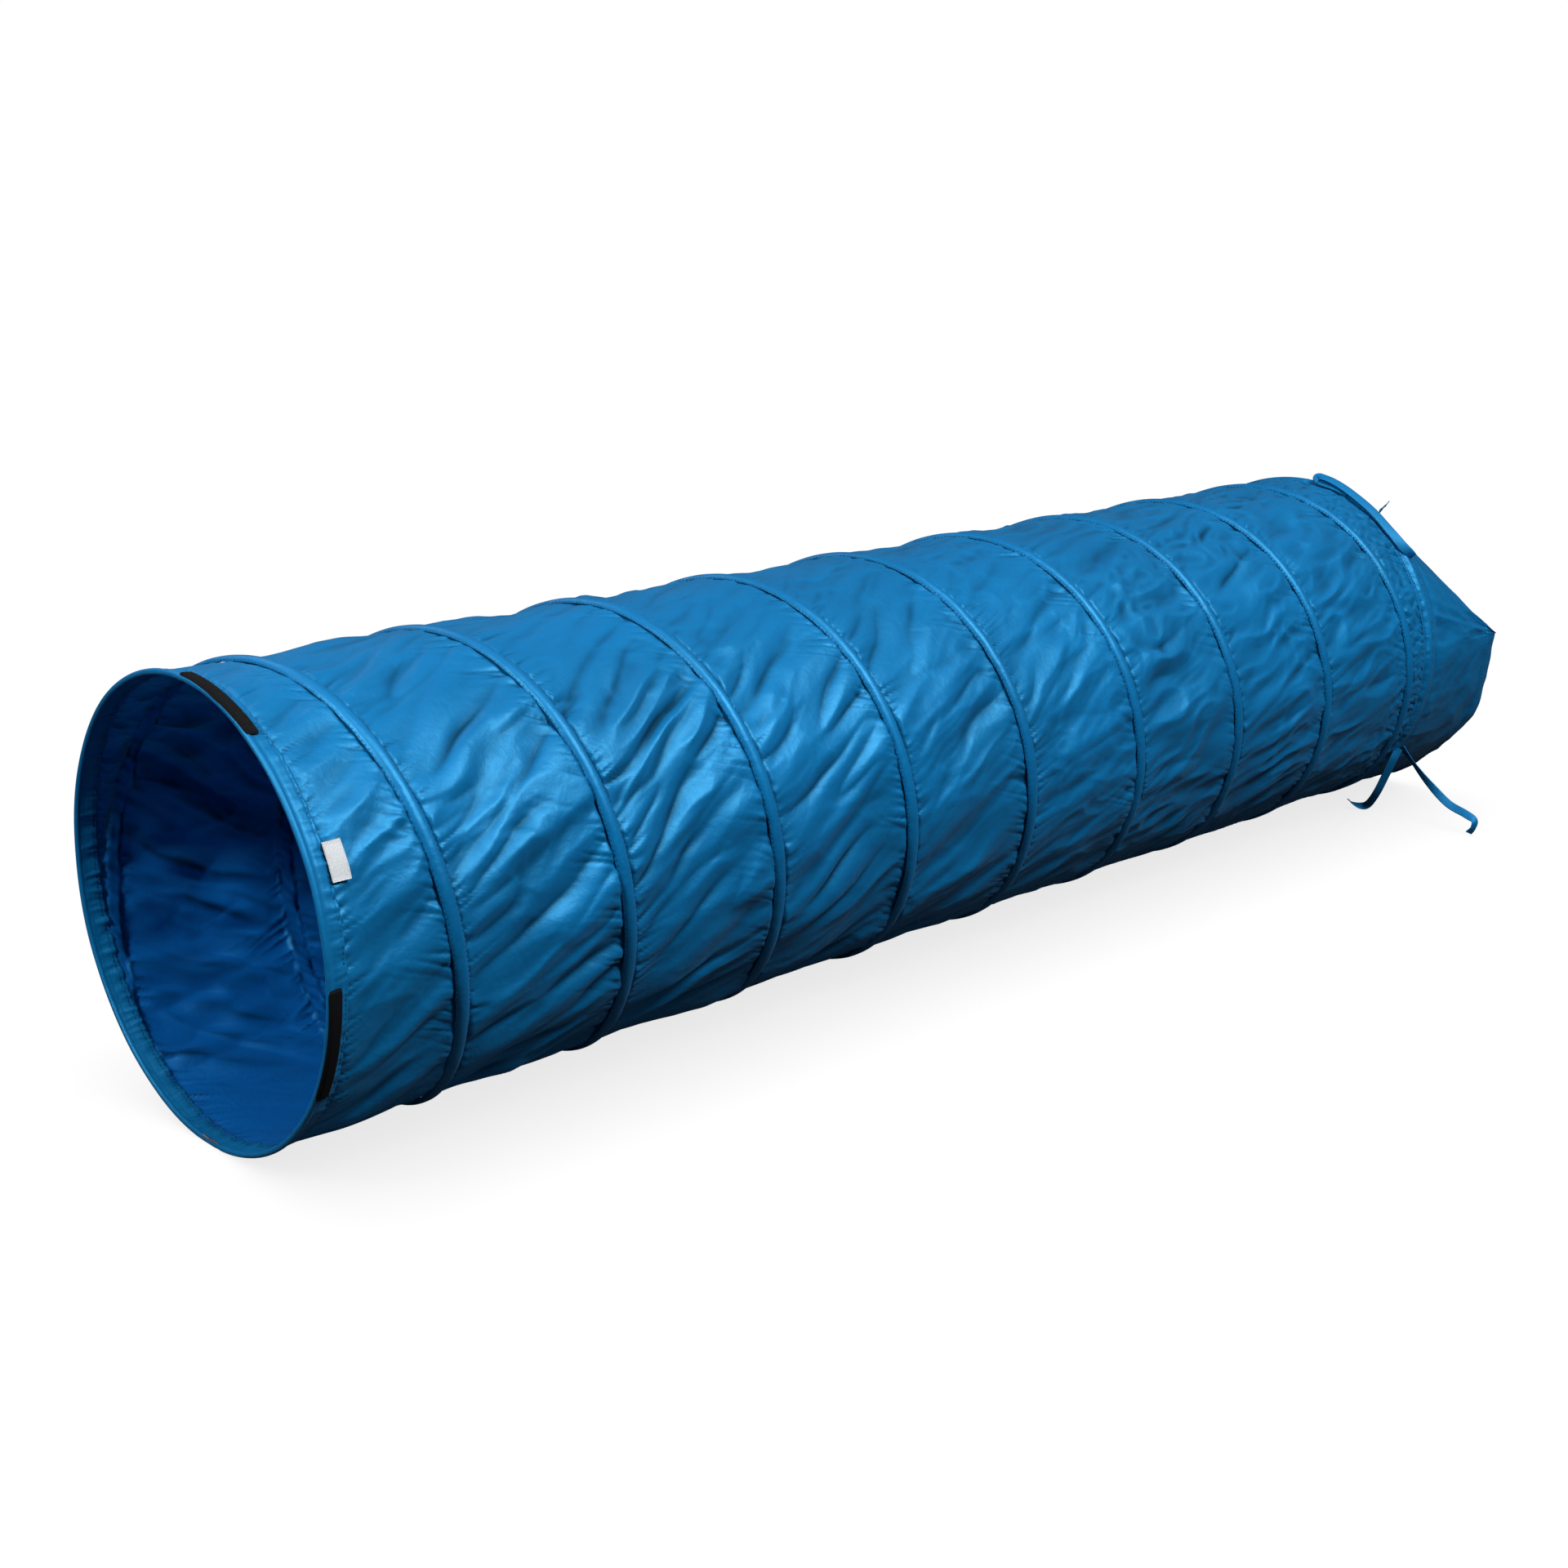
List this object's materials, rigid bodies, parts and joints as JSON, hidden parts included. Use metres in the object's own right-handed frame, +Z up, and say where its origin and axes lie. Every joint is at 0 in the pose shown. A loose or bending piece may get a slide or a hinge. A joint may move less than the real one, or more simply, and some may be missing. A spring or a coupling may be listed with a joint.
{
  "type": "agility tunnel",
  "caption": "Collapsible pet agility tunnel: a blue fabric tube on a spring-wire coil, with an open mouth ring, hook-and-loop rim strips and a tie-off fabric sleeve.",
  "frame": {"origin": "on the floor under the centre of the mouth ring", "axes": "+X along the tunnel from the mouth to the far end, +Z up"},
  "size_m": [2.0032, 0.5728, 0.4828],
  "materials": {
    "blue_taffeta": "shiny woven nylon taffeta",
    "casing_taffeta": "shiny woven nylon taffeta",
    "tie_tape": "folded and stitched taffeta tape",
    "spring_steel": "drawn spring wire",
    "crimp_steel": "satin",
    "hook_tape": "moulded nylon hooks",
    "loop_tape": "brushed nylon loops",
    "label_satin": "woven satin"
  },
  "bodies": {
    "mouth": {"mouth_hem": "blue_taffeta", "mouth_ring_wire": "spring_steel", "mouth_ferrule": "crimp_steel", "rim_hook_strips": "hook_tape", "rim_loop_strips": "loop_tape"},
    "label": {"woven_label": "label_satin"},
    "bay_1": {"shell_bay_1": "blue_taffeta"},
    "turn_1": {"coil_turn_1": "spring_steel", "casing_turn_1": "casing_taffeta"},
    "bay_2": {"shell_bay_2": "blue_taffeta"},
    "turn_2": {"coil_turn_2": "spring_steel", "casing_turn_2": "casing_taffeta"},
    "bay_3": {"shell_bay_3": "blue_taffeta"},
    "turn_3": {"coil_turn_3": "spring_steel", "casing_turn_3": "casing_taffeta"},
    "bay_4": {"shell_bay_4": "blue_taffeta"},
    "turn_4": {"coil_turn_4": "spring_steel", "casing_turn_4": "casing_taffeta"},
    "bay_5": {"shell_bay_5": "blue_taffeta"},
    "turn_5": {"coil_turn_5": "spring_steel", "casing_turn_5": "casing_taffeta"},
    "bay_6": {"shell_bay_6": "blue_taffeta"},
    "turn_6": {"coil_turn_6": "spring_steel", "casing_turn_6": "casing_taffeta"},
    "bay_7": {"shell_bay_7": "blue_taffeta"},
    "turn_7": {"coil_turn_7": "spring_steel", "casing_turn_7": "casing_taffeta"},
    "bay_8": {"shell_bay_8": "blue_taffeta"},
    "turn_8": {"coil_turn_8": "spring_steel", "casing_turn_8": "casing_taffeta"},
    "bay_9": {"shell_bay_9": "blue_taffeta"},
    "far_end": {"coil_turn_9": "spring_steel", "casing_turn_9": "casing_taffeta", "end_hem": "blue_taffeta", "end_ring_wire": "spring_steel", "end_ferrule": "crimp_steel", "chute_sleeve": "blue_taffeta"},
    "chute_rim": {"chute_hem": "blue_taffeta"},
    "tie_top_long": {"tie_top_long": "tie_tape"},
    "tie_top_short": {"tie_top_short": "tie_tape"},
    "tie_low_long": {"tie_low_long": "tie_tape"},
    "tie_low_short": {"tie_low_short": "tie_tape"}
  },
  "joints": [
    {"name": "bend_1", "type": "hinge", "parent": "mouth", "child": "bay_1", "pos_m": [0.038, 0.2415, 0.2395], "axis": [0, 0, -1], "range_deg": [0, 2.5]},
    {"name": "collapse_1", "type": "slide", "parent": "bay_1", "child": "turn_1", "axis": [1, 0, 0], "range_m": [-0.1948, 0], "deforming": ["shell_bay_1", "coil_turn_1", "casing_turn_1"]},
    {"name": "bend_2", "type": "hinge", "parent": "turn_1", "child": "bay_2", "pos_m": [0.2428, 0.2415, 0.2395], "axis": [0, 0, -1], "range_deg": [0, 10]},
    {"name": "collapse_2", "type": "slide", "parent": "bay_2", "child": "turn_2", "axis": [1, 0, 0], "range_m": [-0.1948, 0], "deforming": ["shell_bay_2", "coil_turn_2", "casing_turn_2"]},
    {"name": "bend_3", "type": "hinge", "parent": "turn_2", "child": "bay_3", "pos_m": [0.4476, 0.2415, 0.2395], "axis": [0, 0, -1], "range_deg": [0, 10]},
    {"name": "collapse_3", "type": "slide", "parent": "bay_3", "child": "turn_3", "axis": [1, 0, 0], "range_m": [-0.1948, 0], "deforming": ["shell_bay_3", "coil_turn_3", "casing_turn_3"]},
    {"name": "bend_4", "type": "hinge", "parent": "turn_3", "child": "bay_4", "pos_m": [0.6524, 0.2415, 0.2395], "axis": [0, 0, -1], "range_deg": [0, 10]},
    {"name": "collapse_4", "type": "slide", "parent": "bay_4", "child": "turn_4", "axis": [1, 0, 0], "range_m": [-0.1948, 0], "deforming": ["shell_bay_4", "coil_turn_4", "casing_turn_4"]},
    {"name": "bend_5", "type": "hinge", "parent": "turn_4", "child": "bay_5", "pos_m": [0.8572, 0.2415, 0.2395], "axis": [0, 0, -1], "range_deg": [0, 10]},
    {"name": "collapse_5", "type": "slide", "parent": "bay_5", "child": "turn_5", "axis": [1, 0, 0], "range_m": [-0.1948, 0], "deforming": ["shell_bay_5", "coil_turn_5", "casing_turn_5"]},
    {"name": "bend_6", "type": "hinge", "parent": "turn_5", "child": "bay_6", "pos_m": [1.062, 0.2415, 0.2395], "axis": [0, 0, -1], "range_deg": [0, 10]},
    {"name": "collapse_6", "type": "slide", "parent": "bay_6", "child": "turn_6", "axis": [1, 0, 0], "range_m": [-0.1948, 0], "deforming": ["shell_bay_6", "coil_turn_6", "casing_turn_6"]},
    {"name": "bend_7", "type": "hinge", "parent": "turn_6", "child": "bay_7", "pos_m": [1.2668, 0.2415, 0.2395], "axis": [0, 0, -1], "range_deg": [0, 10]},
    {"name": "collapse_7", "type": "slide", "parent": "bay_7", "child": "turn_7", "axis": [1, 0, 0], "range_m": [-0.1948, 0], "deforming": ["shell_bay_7", "coil_turn_7", "casing_turn_7"]},
    {"name": "bend_8", "type": "hinge", "parent": "turn_7", "child": "bay_8", "pos_m": [1.4716, 0.2415, 0.2395], "axis": [0, 0, -1], "range_deg": [0, 10]},
    {"name": "collapse_8", "type": "slide", "parent": "bay_8", "child": "turn_8", "axis": [1, 0, 0], "range_m": [-0.1948, 0], "deforming": ["shell_bay_8", "coil_turn_8", "casing_turn_8"]},
    {"name": "bend_9", "type": "hinge", "parent": "turn_8", "child": "bay_9", "pos_m": [1.6764, 0.2415, 0.2395], "axis": [0, 0, -1], "range_deg": [0, 10]},
    {"name": "collapse_9", "type": "slide", "parent": "bay_9", "child": "far_end", "axis": [1, 0, 0], "range_m": [-0.1461, 0], "deforming": ["shell_bay_9", "coil_turn_9", "casing_turn_9"]},
    {"name": "chute_gather", "type": "slide", "parent": "far_end", "child": "chute_rim", "axis": [-1, 0, 0], "range_m": [0, 0.11], "deforming": ["chute_sleeve", "chute_hem"]},
    {"name": "label_flap", "type": "hinge", "parent": "mouth", "child": "label", "pos_m": [0.0215, -0.21289, 0.33877], "axis": [0, -0.4226, -0.9063], "range_deg": [0, 90]},
    {"name": "tie_top_long_lift", "type": "hinge", "parent": "far_end", "child": "tie_top_long", "pos_m": [1.83, -0.02531, 0.48027], "axis": [-1, 0, 0], "range_deg": [0, 75]},
    {"name": "tie_top_short_lift", "type": "hinge", "parent": "far_end", "child": "tie_top_short", "pos_m": [1.8398, -0.12105, 0.44916], "axis": [0, -0.866, -0.5], "range_deg": [0, 80]},
    {"name": "tie_low_long_swing", "type": "hinge", "parent": "far_end", "child": "tie_low_long", "pos_m": [1.839, -0.19832, 0.10064], "axis": [-1, 0, 0], "range_deg": [0, 80]},
    {"name": "tie_low_short_swing", "type": "hinge", "parent": "far_end", "child": "tie_low_short", "pos_m": [1.821, -0.19832, 0.10064], "axis": [-1, 0, 0], "range_deg": [0, 80]}
  ],
  "couplings": [
    {"joint": "bend_2", "follows": "bend_1", "ratio": 4},
    {"joint": "collapse_2", "follows": "collapse_1", "ratio": 1},
    {"joint": "bend_3", "follows": "bend_1", "ratio": 4},
    {"joint": "collapse_3", "follows": "collapse_1", "ratio": 1},
    {"joint": "bend_4", "follows": "bend_1", "ratio": 4},
    {"joint": "collapse_4", "follows": "collapse_1", "ratio": 1},
    {"joint": "bend_5", "follows": "bend_1", "ratio": 4},
    {"joint": "collapse_5", "follows": "collapse_1", "ratio": 1},
    {"joint": "bend_6", "follows": "bend_1", "ratio": 4},
    {"joint": "collapse_6", "follows": "collapse_1", "ratio": 1},
    {"joint": "bend_7", "follows": "bend_1", "ratio": 4},
    {"joint": "collapse_7", "follows": "collapse_1", "ratio": 1},
    {"joint": "bend_8", "follows": "bend_1", "ratio": 4},
    {"joint": "collapse_8", "follows": "collapse_1", "ratio": 1},
    {"joint": "bend_9", "follows": "bend_1", "ratio": 4},
    {"joint": "collapse_9", "follows": "collapse_1", "ratio": 0.75}
  ]
}
